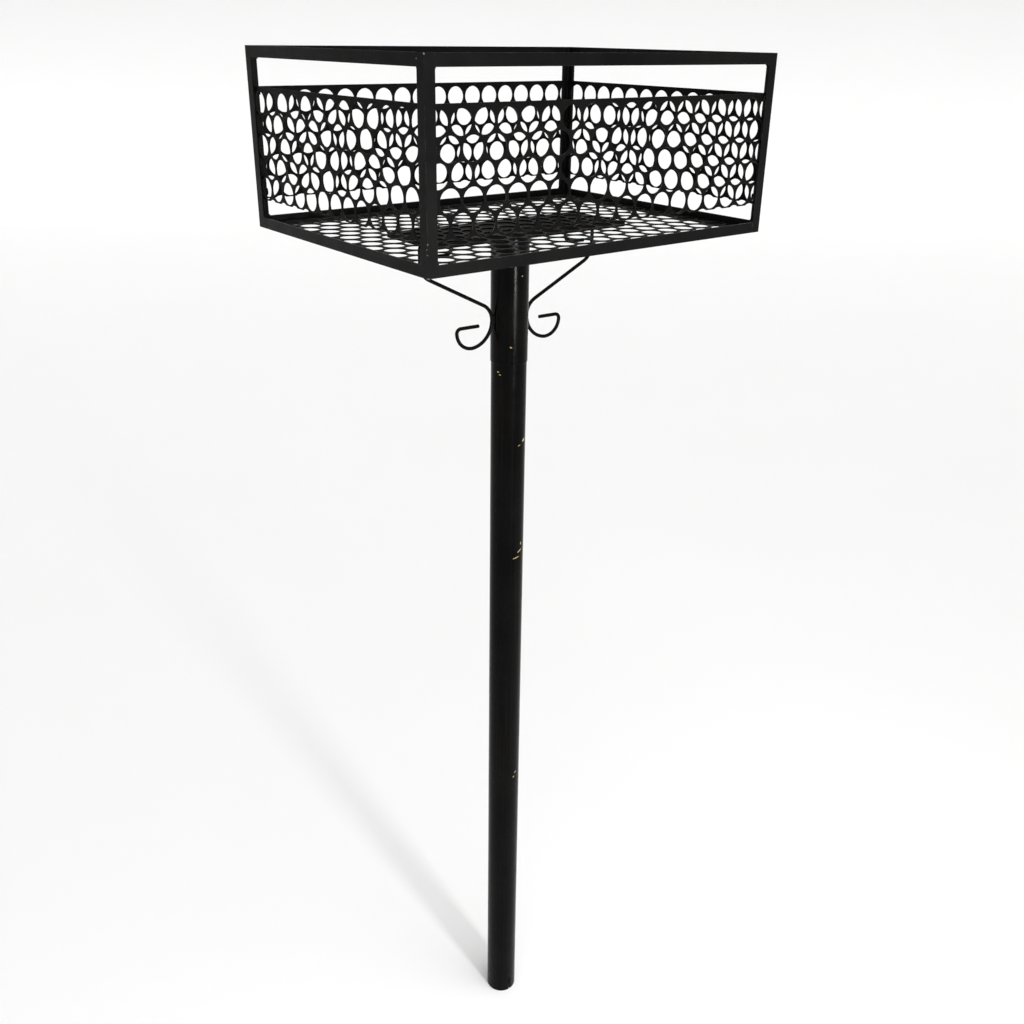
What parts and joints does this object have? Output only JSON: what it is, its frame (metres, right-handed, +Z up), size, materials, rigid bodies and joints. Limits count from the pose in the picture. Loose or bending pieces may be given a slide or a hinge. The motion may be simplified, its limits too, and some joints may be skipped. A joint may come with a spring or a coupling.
{
  "type": "pole-mounted tray bird feeder",
  "caption": "Rectangular open-top bird feeding tray with perforated metal floor and sides, carried on a tall round pole by a sleeve, flat plate and S-shaped wire scrolls.",
  "frame": {"origin": "centre of the pole's lower end", "axes": "+Z up along the pole; +X along the tray's long side; +Y towards the back, so the front long side faces -Y"},
  "size_m": [0.508, 0.381, 1.53],
  "materials": {
    "frame_paint": "satin black paint, hand welded",
    "perforated_paint": "satin black paint on punched sheet, dusty at the hole edges",
    "pole_paint": "semi-gloss black paint with small chips",
    "sleeve_paint": "semi-gloss black paint",
    "wire_paint": "satin black paint on round rod"
  },
  "bodies": {
    "pole": {"pole": "pole_paint"},
    "sleeve": {"socket_sleeve": "sleeve_paint"},
    "feeder_head": {"mount_plate": "frame_paint", "floor_panel": "perforated_paint", "scroll_bracket_right": "wire_paint", "scroll_bracket_left": "wire_paint", "corner_post_front_left": "frame_paint", "corner_post_front_right": "frame_paint", "corner_post_back_right": "frame_paint", "corner_post_back_left": "frame_paint", "bottom_rail_front": "frame_paint", "bottom_rail_right": "frame_paint", "bottom_rail_back": "frame_paint", "bottom_rail_left": "frame_paint", "top_rail_front": "frame_paint", "top_rail_right": "frame_paint", "top_rail_back": "frame_paint", "top_rail_left": "frame_paint", "side_panel_front": "perforated_paint", "side_panel_right": "perforated_paint", "side_panel_back": "perforated_paint", "side_panel_left": "perforated_paint"}
  },
  "joints": [
    {"name": "head_lift", "type": "slide", "parent": "pole", "child": "sleeve", "axis": [0, 0, 1], "range_m": [0, 0.2]},
    {"name": "head_swivel", "type": "hinge", "parent": "sleeve", "child": "feeder_head", "pos_m": [0, 0, 1.3], "axis": [0, 0, 1], "continuous": true}
  ]
}
